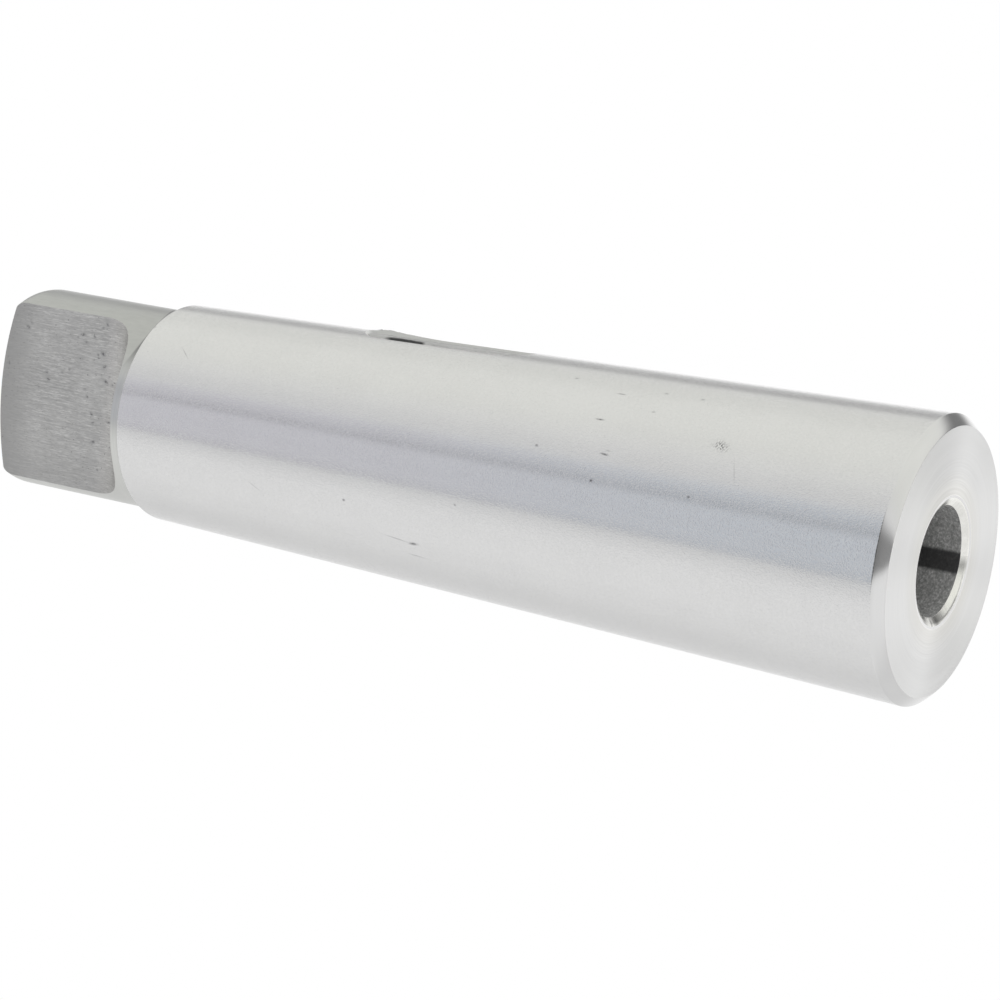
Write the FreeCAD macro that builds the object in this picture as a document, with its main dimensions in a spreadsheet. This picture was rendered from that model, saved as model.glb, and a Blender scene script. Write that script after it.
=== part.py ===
import FreeCAD, Part
import math
import os
import Sketcher

# A reducing sleeve for machine tools, turned and ground from one piece of steel.
# The outside is a size 4 self-holding taper and the socket inside takes a size 1.
# It stands on its big end: Z runs up the axis, from the flat face with the
# socket's mouth at 0 to the top of the tang. The drift slot goes through along Y
# and the two flats of the tang face +X and -X. All lengths are in millimetres.

NODE = "taper_sleeve"

# Lengths that follow from the sizes below, as the sheet works them out.
OVERALL_LENGTH = "(Sizes.shank_length + Sizes.tang_end_length)"
BIG_RADIUS = "(Sizes.gauge_diameter / 2 + Sizes.taper_ratio / 2 * Sizes.gauge_distance)"
SMALL_RADIUS = f"({BIG_RADIUS} - Sizes.taper_ratio / 2 * Sizes.shank_length)"

SIZES = [
    # the outside, along the axis
    ("shank_length", 100.0, "big end face to the shoulder"),
    ("tang_end_length", 24.0, "shoulder to the crown of the tang"),
    ("gauge_diameter", 31.267, "outer taper at its gauge line"),
    ("gauge_distance", 6.5, "big end face to the gauge line"),
    ("taper_ratio", 0.051938, "loss of outer diameter for each mm of length"),
    ("big_end_chamfer", 1.2, "bevel round the big end face"),
    ("small_end_chamfer", 0.3, "bevel on the edge of the shoulder"),
    # the neck and the tang
    ("shoulder_width", 1.005, "step from the small end of the taper in to the neck"),
    ("neck_root_radius", 0.4, "fillet where the neck meets the shoulder"),
    ("tang_thickness", 11.7, "across the two milled flats"),
    ("flat_length", 16.0, "straight part of each flat"),
    ("flat_cutter_radius", 6.5, "run-out of the flats into the neck"),
    ("crown_radius", 38.0, "domed end of the tang"),
    ("crown_corner_radius", 2.0, "rounding between the dome and the neck"),
    # the socket
    ("socket_gauge_diameter", 12.065, "socket taper at the big end face"),
    ("socket_taper_ratio", 0.04988, "loss of socket diameter for each mm of depth"),
    ("mouth_diameter", 13.8, "countersink at the big end face"),
    ("mouth_depth", 0.6, "depth of the countersink"),
    ("tang_hole_diameter", 9.7, "straight hole behind the socket taper"),
    ("tang_hole_depth", 56.0, "big end face to the end of the straight hole"),
    ("drill_point_angle", 118.0, "cone that the drill leaves, in degrees"),
    # the drift slot
    ("slot_start", 52.0, "big end face to the near end of the slot"),
    ("slot_length", 22.0, "slot over its two round ends"),
    ("slot_width", 6.2, "slot across its flat sides"),
    ("slot_edge_break", 0.3, "bevel round both openings of the slot"),
]


def write_sizes(doc):
    """One row for each size: its name, its value and what it measures."""
    sheet = doc.addObject("Spreadsheet::Sheet", "Sizes")
    for row, (name, value, meaning) in enumerate(SIZES, start=1):
        sheet.set(f"A{row}", name)
        sheet.set(f"B{row}", str(value))
        sheet.setAlias(f"B{row}", name)
        sheet.set(f"C{row}", meaning)
    doc.recompute()
    return sheet


class Outline:
    """A sketch in the plane of the axis, where every size comes from the sheet."""

    def __init__(self, body, name):
        plane = next(f for f in body.Origin.OriginFeatures if f.Role == "XZ_Plane")
        self.sketch = body.newObject("Sketcher::SketchObject", name)
        self.sketch.AttachmentSupport = [(plane, "")]
        self.sketch.MapMode = "FlatFace"

    def line(self, start, end):
        a = FreeCAD.Vector(start[0], start[1], 0)
        b = FreeCAD.Vector(end[0], end[1], 0)
        return self.sketch.addGeometry(Part.LineSegment(a, b), False)

    def arc(self, centre, radius, start_deg, end_deg):
        circle = Part.Circle(FreeCAD.Vector(centre[0], centre[1], 0), FreeCAD.Vector(0, 0, 1), radius)
        arc = Part.ArcOfCircle(circle, math.radians(start_deg), math.radians(end_deg))
        return self.sketch.addGeometry(arc, False)

    def rule(self, kind, *what):
        self.sketch.addConstraint(Sketcher.Constraint(kind, *what))

    def size(self, name, expression, kind, *what):
        index = self.sketch.addConstraint(Sketcher.Constraint(kind, *what))
        self.sketch.renameConstraint(index, name)
        self.sketch.setExpression(f"Constraints.{name}", expression)

    def place(self, name, geometry, point, across, along):
        """Sets how far a point is from the axis and how high above the big end."""
        at = self.sketch.getPoint(geometry, point)
        self.size(f"{name}_across", across, "DistanceX", -1, 1, geometry, point, at.x)
        self.size(f"{name}_along", along, "DistanceY", -1, 1, geometry, point, at.y)


def read_sizes():
    """The same sizes as plain numbers, for the first shape of each sketch."""
    sizes = {name: value for name, value, meaning in SIZES}
    sizes["overall_length"] = sizes["shank_length"] + sizes["tang_end_length"]
    half_ratio = sizes["taper_ratio"] / 2
    sizes["big_radius"] = sizes["gauge_diameter"] / 2 + half_ratio * sizes["gauge_distance"]
    sizes["small_radius"] = sizes["big_radius"] - half_ratio * sizes["shank_length"]
    sizes["neck_radius"] = sizes["small_radius"] - sizes["shoulder_width"]
    rise = math.sqrt(sizes["crown_radius"]**2 - sizes["neck_radius"]**2)
    sizes["crown_centre"] = sizes["overall_length"] - sizes["crown_radius"]
    sizes["crown_edge"] = sizes["crown_centre"] + rise
    return sizes


def turn_outside(body, s):
    """The taper, the shoulder, the neck and the domed end as one turned outline."""
    big, small, neck = s["big_radius"], s["small_radius"], s["neck_radius"]
    crown_angle = math.degrees(math.acos(neck / s["crown_radius"]))

    o = Outline(body, "OuterOutline")
    base = o.line((0, 0), (big, 0))
    taper = o.line((big, 0), (small, s["shank_length"]))
    shoulder = o.line((small, s["shank_length"]), (neck, s["shank_length"]))
    side = o.line((neck, s["shank_length"]), (neck, s["crown_edge"]))
    dome = o.arc((0, s["crown_centre"]), s["crown_radius"], crown_angle, 90)
    axis = o.line((0, s["overall_length"]), (0, 0))

    o.rule("Coincident", base, 1, -1, 1)
    o.rule("Horizontal", base)
    o.rule("Coincident", base, 2, taper, 1)
    o.rule("Coincident", taper, 2, shoulder, 1)
    o.rule("Horizontal", shoulder)
    o.rule("Coincident", shoulder, 2, side, 1)
    o.rule("Vertical", side)
    o.rule("Coincident", side, 2, dome, 1)
    o.rule("Coincident", dome, 2, axis, 1)
    o.rule("Coincident", axis, 2, base, 1)
    o.rule("Vertical", axis)
    o.rule("PointOnObject", dome, 3, -2)
    o.size("big_radius", BIG_RADIUS, "DistanceX", -1, 1, base, 2, big)
    o.place("small_end", taper, 2, SMALL_RADIUS, "Sizes.shank_length")
    o.size("shoulder_width", "Sizes.shoulder_width", "DistanceX", shoulder, 2, shoulder, 1, small - neck)
    o.size("crown_radius", "Sizes.crown_radius", "Radius", dome, s["crown_radius"])
    o.size("overall_length", OVERALL_LENGTH, "DistanceY", -1, 1, dome, 2, s["overall_length"])

    turned = body.newObject("PartDesign::Revolution", "TurnedOutside")
    turned.Profile = o.sketch
    turned.ReferenceAxis = (o.sketch, ["V_Axis"])
    turned.Angle = 360.0
    body.Document.recompute()
    return turned


def ring_edges(shape, radius, height):
    """The names of the full circles of this radius at this height."""
    found = []
    for number, edge in enumerate(shape.Edges, start=1):
        box = edge.BoundBox
        same_radius = abs(box.XLength / 2 - radius) < 0.01 and abs(box.YLength / 2 - radius) < 0.01
        if same_radius and box.ZLength < 0.001 and abs(box.ZMin - height) < 0.01:
            found.append(f"Edge{number}")
    if not found:
        raise ValueError(f"no edge of radius {radius:.3f} at height {height:.3f}")
    return found


def dress(body, kind, name, base, edges, size):
    """A bevel or a rounding on the given edges of a feature."""
    feature = body.newObject(f"PartDesign::{kind}", name)
    feature.Base = (base, edges)
    if kind == "Chamfer":
        feature.setExpression("Size", size)
    else:
        feature.setExpression("Radius", size)
    body.Document.recompute()
    return feature


def finish_outside_edges(body, turned, s):
    """Bevels both ends of the taper, fillets the neck and rounds the tang's corner."""
    bevel = dress(body, "Chamfer", "BigEndBevel", turned,
                  ring_edges(turned.Shape, s["big_radius"], 0.0), "Sizes.big_end_chamfer")
    small = dress(body, "Chamfer", "ShoulderBevel", bevel,
                  ring_edges(bevel.Shape, s["small_radius"], s["shank_length"]), "Sizes.small_end_chamfer")
    root = dress(body, "Fillet", "NeckRoot", small,
                 ring_edges(small.Shape, s["neck_radius"], s["shank_length"]), "Sizes.neck_root_radius")
    return dress(body, "Fillet", "CrownCorner", root,
                 ring_edges(root.Shape, s["neck_radius"], s["crown_edge"]), "Sizes.crown_corner_radius")


def bore_socket(body, s):
    """The countersunk mouth, the inner taper, the straight hole and the drill point."""
    half_ratio = s["socket_taper_ratio"] / 2
    gauge = s["socket_gauge_diameter"] / 2
    hole = s["tang_hole_diameter"] / 2
    mouth = (s["mouth_diameter"] / 2, 0)
    throat = (gauge - half_ratio * s["mouth_depth"], s["mouth_depth"])
    taper_end = (hole, (gauge - hole) / half_ratio)
    hole_end = (hole, s["tang_hole_depth"])
    point = (0, s["tang_hole_depth"] + hole / math.tan(math.radians(s["drill_point_angle"] / 2)))

    o = Outline(body, "SocketOutline")
    corners = [(0, 0), mouth, throat, taper_end, hole_end, point]
    sides = [o.line(a, b) for a, b in zip(corners, corners[1:] + corners[:1])]
    opening, countersink, taper, straight, cone, axis = sides
    for first, second in zip(sides, sides[1:] + sides[:1]):
        o.rule("Coincident", first, 2, second, 1)
    o.rule("Coincident", opening, 1, -1, 1)
    o.rule("Horizontal", opening)
    o.rule("Vertical", straight)
    o.rule("Vertical", axis)
    o.size("mouth_radius", "Sizes.mouth_diameter / 2", "DistanceX", -1, 1, opening, 2, mouth[0])
    o.place("throat", countersink, 2,
            "Sizes.socket_gauge_diameter / 2 - Sizes.socket_taper_ratio / 2 * Sizes.mouth_depth",
            "Sizes.mouth_depth")
    o.place("taper_end", taper, 2, "Sizes.tang_hole_diameter / 2",
            "(Sizes.socket_gauge_diameter - Sizes.tang_hole_diameter) / Sizes.socket_taper_ratio")
    o.size("hole_depth", "Sizes.tang_hole_depth", "DistanceY", -1, 1, straight, 2, hole_end[1])
    o.size("point_height", "Sizes.tang_hole_diameter / 2 / tan(Sizes.drill_point_angle / 2 * 1 deg)",
           "DistanceY", cone, 1, cone, 2, point[1] - hole_end[1])

    socket = body.newObject("PartDesign::Groove", "Socket")
    socket.Profile = o.sketch
    socket.ReferenceAxis = (o.sketch, ["V_Axis"])
    socket.Angle = 360.0
    body.Document.recompute()
    return socket


def cut_through(body, name, outline):
    """Cuts an outline all the way through, to both sides of its plane."""
    cut = body.newObject("PartDesign::Pocket", name)
    cut.Profile = outline.sketch
    cut.Type = "ThroughAll"
    cut.Midplane = True
    body.Document.recompute()
    return cut


def mill_drift_slot(body, s):
    """The long slot across the sleeve, through which a drift knocks the tool out."""
    half = s["slot_width"] / 2
    low = s["slot_start"] + half
    high = s["slot_start"] + s["slot_length"] - half

    o = Outline(body, "SlotOutline")
    right = o.line((half, low), (half, high))
    top = o.arc((0, high), half, 0, 180)
    left = o.line((-half, high), (-half, low))
    bottom = o.arc((0, low), half, 180, 360)
    o.rule("Tangent", right, 2, top, 1)
    o.rule("Tangent", top, 2, left, 1)
    o.rule("Tangent", left, 2, bottom, 1)
    o.rule("Tangent", bottom, 2, right, 1)
    o.rule("Vertical", right)
    o.rule("PointOnObject", top, 3, -2)
    o.rule("PointOnObject", bottom, 3, -2)
    o.size("half_width", "Sizes.slot_width / 2", "Radius", bottom, half)
    o.size("low_centre", "Sizes.slot_start + Sizes.slot_width / 2", "DistanceY", -1, 1, bottom, 3, low)
    o.size("centre_distance", "Sizes.slot_length - Sizes.slot_width", "DistanceY", bottom, 3, top, 3,
           high - low)
    return cut_through(body, "DriftSlot", o)


def slot_rim(shape, s):
    """The edges of both slot openings: on the outer taper, within the slot's outline."""
    half_width = s["slot_width"] / 2
    low = s["slot_start"]
    high = low + s["slot_length"]

    def on_rim(point):
        taper_radius = s["big_radius"] - s["taper_ratio"] / 2 * point.z
        on_taper = abs(math.hypot(point.x, point.y) - taper_radius) < 0.02
        return on_taper and abs(point.x) < half_width + 0.01 and low - 0.01 < point.z < high + 0.01

    found = []
    for number, edge in enumerate(shape.Edges, start=1):
        if not edge.Degenerated and all(on_rim(point) for point in edge.discretize(5)):
            found.append(f"Edge{number}")
    return found


def mill_tang(body, s):
    """One flat of the tang with its round run-out, then the same on the other side."""
    flat = s["tang_thickness"] / 2
    reach = flat + s["flat_cutter_radius"]
    low = s["overall_length"] - s["flat_length"]
    high = s["overall_length"] + s["crown_corner_radius"]

    o = Outline(body, "FlatOutline")
    face = o.line((flat, high), (flat, low))
    run_out = o.arc((reach, low), s["flat_cutter_radius"], 180, 270)
    outer = o.line((reach, low - s["flat_cutter_radius"]), (reach, high))
    top = o.line((reach, high), (flat, high))
    o.rule("Vertical", face)
    o.rule("Tangent", face, 2, run_out, 1)
    o.rule("Coincident", run_out, 2, outer, 1)
    o.rule("Coincident", outer, 2, top, 1)
    o.rule("Coincident", top, 2, face, 1)
    o.rule("Horizontal", top)
    o.rule("Vertical", outer)
    o.rule("Vertical", run_out, 3, run_out, 2)
    o.size("half_thickness", "Sizes.tang_thickness / 2", "DistanceX", -1, 1, face, 2, flat)
    o.size("flat_foot", f"{OVERALL_LENGTH} - Sizes.flat_length", "DistanceY", -1, 1, face, 2, low)
    o.size("cutter_radius", "Sizes.flat_cutter_radius", "Radius", run_out, s["flat_cutter_radius"])
    o.size("clear_height", f"{OVERALL_LENGTH} + Sizes.crown_corner_radius",
           "DistanceY", -1, 1, top, 2, high)
    flat_cut = cut_through(body, "TangFlat", o)
    body.Tip = flat_cut

    pair = body.newObject("PartDesign::Mirrored", "TangFlats")
    plane = next(f for f in body.Origin.OriginFeatures if f.Role == "YZ_Plane")
    pair.Originals = [flat_cut]
    pair.MirrorPlane = (plane, [""])
    body.Document.recompute()
    return pair


def check(doc, body):
    """Stops before the export when any feature failed or the piece isn't one solid."""
    for thing in doc.Objects:
        if "Invalid" in thing.State or "Error" in thing.State:
            raise RuntimeError(f"{thing.Name} did not build")
        if hasattr(thing, "Shape") and thing.isDerivedFrom("PartDesign::Feature"):
            if thing.Shape.isNull() or not thing.Shape.isValid():
                raise RuntimeError(f"{thing.Name} has a bad shape")
    if len(body.Shape.Solids) != 1:
        raise RuntimeError("the sleeve is one solid")


def main():
    doc = FreeCAD.newDocument("TaperSleeve")
    write_sizes(doc)
    s = read_sizes()
    body = doc.addObject("PartDesign::Body", "Sleeve")
    body.Label = NODE

    turned = turn_outside(body, s)
    finish_outside_edges(body, turned, s)
    bore_socket(body, s)
    slot = mill_drift_slot(body, s)
    dress(body, "Chamfer", "SlotBevel", slot, slot_rim(slot.Shape, s), "Sizes.slot_edge_break")
    tang = mill_tang(body, s)
    body.Tip = tang
    doc.recompute()
    check(doc, body)

    os.makedirs("parts", exist_ok=True)
    body.Shape.exportStep(f"parts/{NODE}.step")
    box = body.Shape.BoundBox
    print(f"{NODE}: {body.Shape.Volume / 1000:.3f} cm3")
    print(f"{box.XLength:.3f} x {box.YLength:.3f} x {box.ZLength:.3f} mm")


main()
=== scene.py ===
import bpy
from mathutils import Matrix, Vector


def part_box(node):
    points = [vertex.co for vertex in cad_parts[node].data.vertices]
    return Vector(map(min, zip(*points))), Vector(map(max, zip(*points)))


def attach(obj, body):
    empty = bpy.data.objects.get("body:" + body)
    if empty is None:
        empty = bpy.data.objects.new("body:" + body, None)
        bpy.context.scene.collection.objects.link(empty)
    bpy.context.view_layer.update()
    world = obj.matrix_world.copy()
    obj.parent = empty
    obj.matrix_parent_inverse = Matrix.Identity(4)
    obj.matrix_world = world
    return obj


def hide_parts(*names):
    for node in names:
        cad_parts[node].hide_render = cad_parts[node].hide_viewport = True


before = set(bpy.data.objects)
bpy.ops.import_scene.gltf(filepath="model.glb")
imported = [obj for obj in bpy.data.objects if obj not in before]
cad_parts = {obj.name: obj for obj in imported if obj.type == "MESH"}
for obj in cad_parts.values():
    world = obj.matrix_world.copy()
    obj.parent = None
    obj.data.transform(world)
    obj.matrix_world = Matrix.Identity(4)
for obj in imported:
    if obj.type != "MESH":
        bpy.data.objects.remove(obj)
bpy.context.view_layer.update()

import math

import bmesh
import bpy
from bpy.props import FloatProperty, FloatVectorProperty, IntProperty, PointerProperty
from mathutils import Matrix, Vector

bl_info = {
    "name": "Taper Sleeve",
    "version": (1, 0, 0),
    "blender": (4, 5, 0),
    "location": "3D View > Sidebar > Sleeve",
    "description": "Builds a ground steel reducing sleeve and the studio it is shown in",
    "category": "Object",
}

# The sleeve stands on its big end: Z runs up the axis to the tang, the drift slot
# goes through along Y and the flats of the tang face +X and -X.
NODE = "taper_sleeve"
MM = 0.001
DEGREE = math.pi / 180
SLEEVE_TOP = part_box(NODE)[1]

# The finishes of the sleeve, in the order of its material slots.
FINISHES = ["ground_taper", "turned_neck", "milled_flat", "faced_end",
            "turned_bevel", "mouth_bevel", "bored_socket", "slot_wall"]
STRAIGHT_UP = Vector((0.0, 1.0))
QUARTER_TURN = 0.25


def length(name, description, default_mm):
    return FloatProperty(name=name, description=description, default=default_mm * MM,
                         min=0.0, unit="LENGTH", precision=5)


def colour(name, description, default):
    return FloatVectorProperty(name=name, description=description, default=default,
                               size=3, min=0.0, max=1.0, subtype="COLOR")


def share(name, description, default):
    return FloatProperty(name=name, description=description, default=default,
                         min=0.0, max=1.0, subtype="FACTOR")


class SleeveSizes(bpy.types.PropertyGroup):
    """Lengths of the sleeve, as in the solid that it stands for."""

    overall_length: FloatProperty(name="Overall length", description="Big end face to the crown",
                                  default=SLEEVE_TOP.z, unit="LENGTH", precision=5)
    shank_length: length("Shank length", "Big end face to the shoulder", 100.0)
    big_radius: length("Big end radius", "Outer taper at the big end face", 15.8023)
    small_radius: length("Small end radius", "Outer taper at the shoulder", 13.2054)
    big_bevel: length("Big end bevel", "Bevel round the big end face", 1.2)
    bevel_crown: length("Bevel crown", "How far the middle of the bevel is raised", 0.08)
    crown_bend: length("Crown bend", "Radius that rounds the middle of the bevel", 8.5)
    small_bevel: length("Shoulder bevel", "Bevel on the edge of the shoulder", 0.3)
    edge_round: length("Edge rounding", "Worn rounding on the turned edges", 0.11)
    mouth_round: length("Mouth rounding", "Softened outer edge of the countersink", 1.2)
    neck_radius: length("Neck radius", "Plain neck and width of the tang", 12.2004)
    root_radius: length("Root radius", "Fillet where the neck meets the shoulder", 0.4)
    crown_radius: length("Crown radius", "Domed end of the tang", 38.0)
    corner_radius: length("Corner radius", "Rounding between the dome and the neck", 2.0)
    tang_thickness: length("Tang thickness", "Across the two flats", 11.7)
    flat_length: length("Flat length", "Straight part of each flat", 16.0)
    cutter_radius: length("Cutter radius", "Run-out of the flats into the neck", 6.5)
    mouth_radius: length("Mouth radius", "Countersink at the big end face", 6.9)
    mouth_depth: length("Mouth depth", "Depth of the countersink", 0.6)
    throat_radius: length("Throat radius", "Socket taper under the countersink", 6.0175)
    hole_radius: length("Hole radius", "Straight hole behind the socket taper", 4.85)
    taper_depth: length("Taper depth", "Big end face to the end of the socket taper", 47.414)
    hole_depth: length("Hole depth", "Big end face to the end of the straight hole", 56.0)
    point_height: length("Drill point", "Height of the cone that the drill leaves", 2.914)
    slot_start: length("Slot start", "Big end face to the near end of the slot", 52.0)
    slot_length: length("Slot length", "Slot over its two round ends", 22.0)
    slot_width: length("Slot width", "Slot across its flat sides", 6.2)
    slot_break: length("Slot edge", "Bevel round both openings of the slot", 0.3)
    lip_height: length("Lip height", "Rise of the lip thrown up beside the slot", 0.34)
    lip_width: length("Lip width", "From the lip's crest to its foot", 0.55)
    lip_start: length("Lip start", "Height at which the lip begins to rise", 66.2)
    lip_length: length("Lip length", "From there to its full height", 6.1)
    lip_end: FloatProperty(name="Lip end", description="Where the lip stops beside the slot's end",
                           default=-1.3 * MM, unit="LENGTH", precision=5)
    turns: IntProperty(name="Turned steps", description="Steps round the axis", default=256, min=32)


class SleeveColours(bpy.types.PropertyGroup):
    """Colours of the bare steel, one for each way it was machined, and of the marks and the painted
    shade.
    """

    ground: colour("Ground", "Ground outer taper", (0.683, 0.682, 0.680))
    turned: colour("Turned", "Turned neck and shoulder", (0.60, 0.605, 0.585))
    milled: colour("Milled", "Milled flats of the tang", (0.565, 0.560, 0.540))
    faced: colour("Faced", "Turned big end face", (0.80, 0.80, 0.795))
    bored: colour("Bored", "Inside of the socket", (0.72, 0.72, 0.71))
    slotted: colour("Slotted", "Walls of the drift slot", (0.90, 0.90, 0.885))
    # The dark colour also paints the shade in the neck's root, in the socket's strip and on the
    # slot's wall.
    dark: colour("Dark marks", "Pits and handling marks", (0.10, 0.10, 0.105))


class StudioSettings(bpy.types.PropertyGroup):
    """The camera, the soft light and the floor."""

    lens: FloatProperty(name="Lens", description="Focal length in millimetres", default=110.44588)
    floor_colour: colour("Floor", "Plain pale floor", (0.82, 0.82, 0.82))
    floor_radius: length("Floor radius", "Half the width of the floor", 2000.0)
    floor_opening: length("Floor opening", "Radius of the opening under the sleeve", 13.9)
    floor_drop: length("Floor drop", "How far the floor lies under the big end face", 0.05)
    fade_start: length("Fade start", "From here the floor begins to fade", 450.0)
    fade_end: length("Fade end", "Past here the floor is clear", 1500.0)
    low_gap: share("Low gap", "How dark the gap in front is below the object", 0.92)


# Shader nodes as expressions.


class Value:
    """A number in a node tree. Sums written on it add their Math nodes."""

    def __init__(self, tree, socket):
        self.tree = tree
        self.socket = socket

    def maths(self, operation, *values):
        node = self.tree.nodes.new("ShaderNodeMath")
        node.operation = operation
        for slot, value in zip(node.inputs, values):
            plug(self.tree, slot, value)
        return Value(self.tree, node.outputs[0])

    def __add__(self, other):
        return self.maths("ADD", self, other)

    def __radd__(self, other):
        return self.maths("ADD", other, self)

    def __sub__(self, other):
        return self.maths("SUBTRACT", self, other)

    def __rsub__(self, other):
        return self.maths("SUBTRACT", other, self)

    def __mul__(self, other):
        return self.maths("MULTIPLY", self, other)

    def __rmul__(self, other):
        return self.maths("MULTIPLY", other, self)

    def __truediv__(self, other):
        return self.maths("DIVIDE", self, other)

    def __rtruediv__(self, other):
        return self.maths("DIVIDE", other, self)

    def __abs__(self):
        return self.maths("ABSOLUTE", self)

    def root(self):
        return self.maths("SQRT", self)

    def exp(self):
        return self.maths("EXPONENT", self)

    def most(self, other):
        return self.maths("MAXIMUM", self, other)


def plug(tree, slot, value):
    """Puts a number, a colour or a link into a node's input."""
    if isinstance(value, Value):
        tree.links.new(value.socket, slot)
    elif isinstance(value, bpy.types.NodeSocket):
        tree.links.new(value, slot)
    elif hasattr(value, "__len__") and slot.type == "RGBA" and len(value) == 3:
        slot.default_value = (*value, 1.0)
    else:
        slot.default_value = value


class Nodes:
    """Adds nodes to the tree of one material or of the world."""

    def __init__(self, owner):
        owner.use_nodes = True
        self.tree = owner.node_tree
        self.tree.nodes.clear()

    def add(self, kind, settings=None, inputs=None):
        """One node: its settings first, then what its sockets hold or are linked to."""
        node = self.tree.nodes.new(kind)
        for name, value in (settings or {}).items():
            setattr(node, name, value)
        for name, value in (inputs or {}).items():
            plug(self.tree, node.inputs[name], value)
        return node

    def value(self, kind, settings=None, inputs=None, output=0):
        return Value(self.tree, self.add(kind, settings, inputs).outputs[output])

    def point(self):
        """Object coordinates, in millimetres."""
        spot = self.add("ShaderNodeTexCoord").outputs["Object"]
        return self.vector("SCALE", {0: spot, "Scale": 1 / MM})

    def vector(self, operation, inputs):
        """Sums on whole vectors. The length of a vector is the node's second output."""
        node = self.add("ShaderNodeVectorMath", {"operation": operation}, inputs)
        return node.outputs[1] if operation == "LENGTH" else node.outputs[0]

    def parts(self, vector):
        node = self.add("ShaderNodeSeparateXYZ", None, {0: vector})
        return [Value(self.tree, socket) for socket in node.outputs]

    def joined(self, x, y, z):
        return self.add("ShaderNodeCombineXYZ", None, {0: x, 1: y, 2: z}).outputs[0]

    def noise(self, vector, scale=(1.0, 1.0, 1.0), detail=2.0, roughness=0.6):
        """Smooth noise from about 0 to 1, with its own scale along each axis."""
        spread = self.vector("MULTIPLY", {0: vector, 1: scale})
        inputs = {"Vector": spread, "Scale": 1.0, "Detail": detail, "Roughness": roughness}
        return self.value("ShaderNodeTexNoise", {"noise_dimensions": "3D"}, inputs)

    def step(self, value, low, high):
        """0 below low and 1 above high, with a smooth change between them."""
        settings = {"interpolation_type": "SMOOTHSTEP"}
        inputs = {"Value": value, "From Min": low, "From Max": high, "To Min": 0.0, "To Max": 1.0}
        return self.value("ShaderNodeMapRange", settings, inputs)

    def spread(self, value, low, high, to_low, to_high):
        """A straight change from one range to another, held at its ends."""
        inputs = {"Value": value, "From Min": low, "From Max": high,
                  "To Min": to_low, "To Max": to_high}
        return self.value("ShaderNodeMapRange", None, inputs)

    def blend(self, amount, a, b):
        """One colour over another."""
        return self.add("ShaderNodeMix", {"data_type": "RGBA"}, {0: amount, 6: a, 7: b}).outputs[2]

    def bump(self, height, micrometres):
        """The shading of small heights: what 1 stands for is given in micrometres."""
        inputs = {"Height": height, "Distance": micrometres * MM / 1000, "Strength": 1.0}
        return self.add("ShaderNodeBump", None, inputs).outputs[0]

    def turn(self, x, y):
        """The angle round the axis, in degrees."""
        return self.value("ShaderNodeMath", {"operation": "ARCTAN2"}, {0: y, 1: x}) * (1 / DEGREE)

    def steel(self, base, roughness, normal, anisotropic=0.0, metallic=1.0):
        """Bare steel. Its highlight spreads across the marks that run round the axis."""
        inputs = {"Base Color": base, "Metallic": metallic, "Roughness": roughness,
                  "Normal": normal, "Anisotropic": anisotropic,
                  "Anisotropic Rotation": QUARTER_TURN if anisotropic else 0.0}
        surface = self.add("ShaderNodeBsdfPrincipled", None, inputs)
        self.add("ShaderNodeOutputMaterial", None, {"Surface": surface.outputs[0]})


def shade(colour_value, factor):
    return tuple(channel * factor for channel in colour_value)


# The finishes of the steel. The numbers after a noise's pattern are how many of its waves
# fit a millimetre along each axis, then its detail and its roughness.

# The taper and its slot for the finishes, in millimetres: what the radius loses for each
# millimetre of height, the middle of the slot, half of its straight sides, and half of its
# width over the broken edges.
TAPER_SLOPE = 0.025969
SLOT_MIDDLE = 63.0
SLOT_STRAIGHT = 7.9
SLOT_HALF_WIDTH = 3.4

LIP_GREY = (0.42, 0.425, 0.41)
RIM_PAINTED_SHADE = (0.52, 0.525, 0.51)
NECK_PAINTED_SHADE = (0.415, 0.421, 0.411)
WARM_STEEL = (0.76, 0.74, 0.68)
# Near-white of the painted highlights on edges.
PAINTED_HIGHLIGHT = (0.98, 0.98, 0.96)
CUT_DARK = (0.78, 0.775, 0.74)
CUT_LIGHT = (0.88, 0.875, 0.84)
MOUTH_PATCH_GREY = (0.20, 0.20, 0.19)

# Marks: place along, place across, half length, half width, lean of the long side, depth.
# On the taper the places are a height in millimetres and an angle in degrees.
TAPER_MARKS = [
    (36.30, 58.5, 0.42, 0.09, 0.0, 0.75), (36.85, 42.3, 0.40, 0.10, 0.0, 0.95),
    (34.60, 26.75, 0.42, 0.10, 5.0, 0.95), (34.30, 28.6, 0.30, 0.08, 5.0, 0.30),
    (43.00, 25.4, 0.16, 0.12, 0.0, 0.80), (35.26, 14.9, 0.17, 0.13, 0.0, 0.95),
    (23.40, 15.7, 0.16, 0.12, 0.0, 0.80), (42.85, 65.1, 0.25, 0.15, 0.0, 0.35),
    (31.40, 63.5, 0.25, 0.15, 0.0, 0.35), (26.90, 63.2, 0.25, 0.15, 0.0, 0.35),
    (31.30, 50.7, 0.22, 0.12, 0.0, 0.35), (19.10, 29.3, 1.05, 0.07, 70.0, 0.20),
    (59.90, -30.5, 1.50, 0.07, 6.3, 0.42), (57.90, -31.2, 0.50, 0.16, -6.0, 0.90),
    (57.85, -38.45, 0.95, 0.07, 3.8, 0.35), (66.85, -16.0, 0.16, 0.13, 0.0, 0.80),
    (51.80, -6.9, 0.14, 0.10, 0.0, 0.40), (93.10, 41.0, 0.80, 0.06, 40.6, 0.30),
    (99.75, 54.8, 0.22, 0.25, 0.0, 0.50), (79.60, -19.2, 0.60, 0.07, 30.0, 0.25),
    (71.00, 151.0, 1.10, 0.08, 12.0, 0.50), (33.00, -142.0, 0.80, 0.10, 70.0, 0.45),
    (84.00, -96.0, 0.40, 0.12, 30.0, 0.50), (47.00, -171.0, 0.18, 0.13, 0.0, 0.70),
]
SMUDGE = [(21.70, 39.1, 0.80, 0.50, 20.0, 0.85)]
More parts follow.
